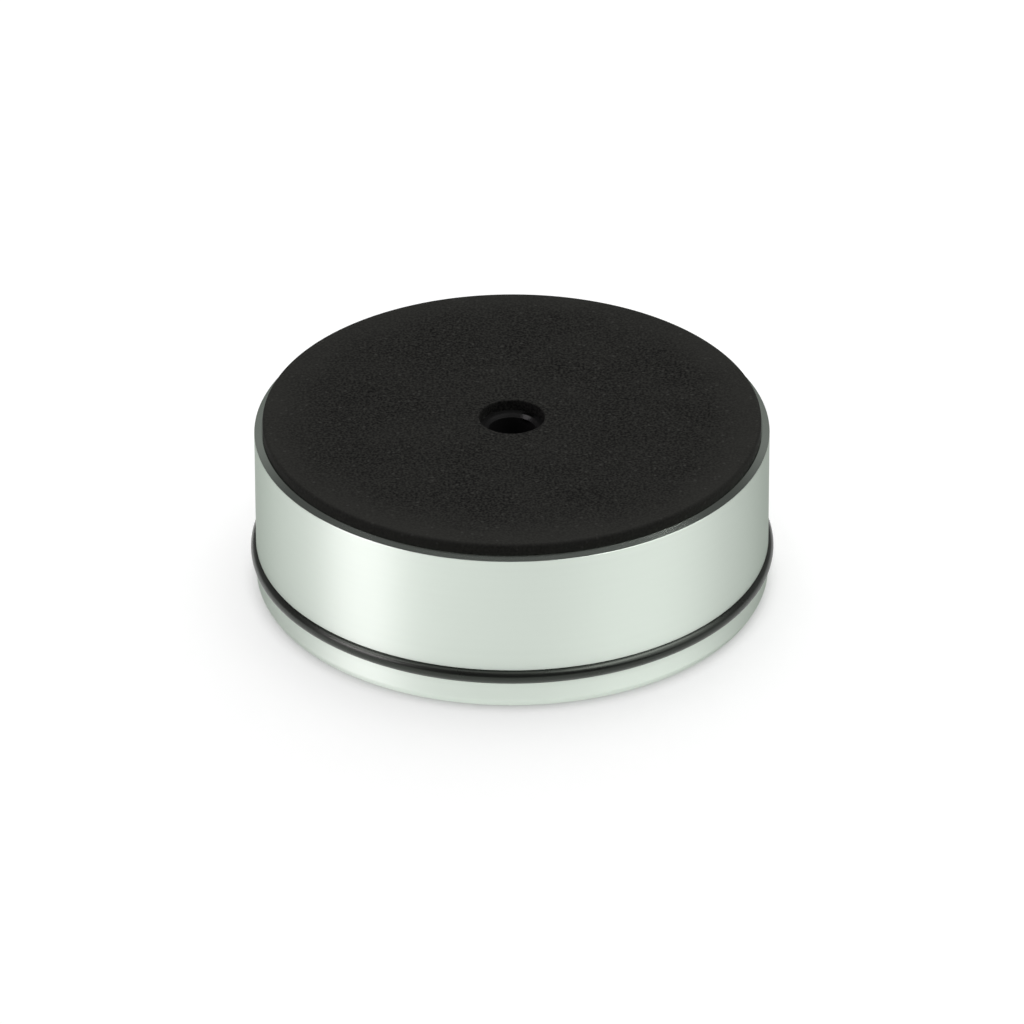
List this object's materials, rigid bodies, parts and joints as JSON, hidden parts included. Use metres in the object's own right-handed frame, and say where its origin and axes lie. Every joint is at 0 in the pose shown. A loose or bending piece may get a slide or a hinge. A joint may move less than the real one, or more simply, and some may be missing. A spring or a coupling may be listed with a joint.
{
  "type": "record weight",
  "caption": "Round turned metal weight that slides over a turntable spindle, with a foam pad on one face, a blind spindle bore and a rubber ring round its wall.",
  "frame": {"origin": "centre of the plain face, on the surface that the weight rests on", "axes": "+Z along the spindle's axis, from the plain face to the pad"},
  "size_m": [0.0816, 0.0816, 0.0282],
  "materials": {
    "turned_metal": "fine turned satin",
    "pad_foam": "matte closed-cell foam with a fine grain",
    "ring_rubber": "smooth satin"
  },
  "bodies": {
    "root": {"body": "turned_metal", "pad": "pad_foam", "o_ring": "ring_rubber"}
  },
  "joints": []
}
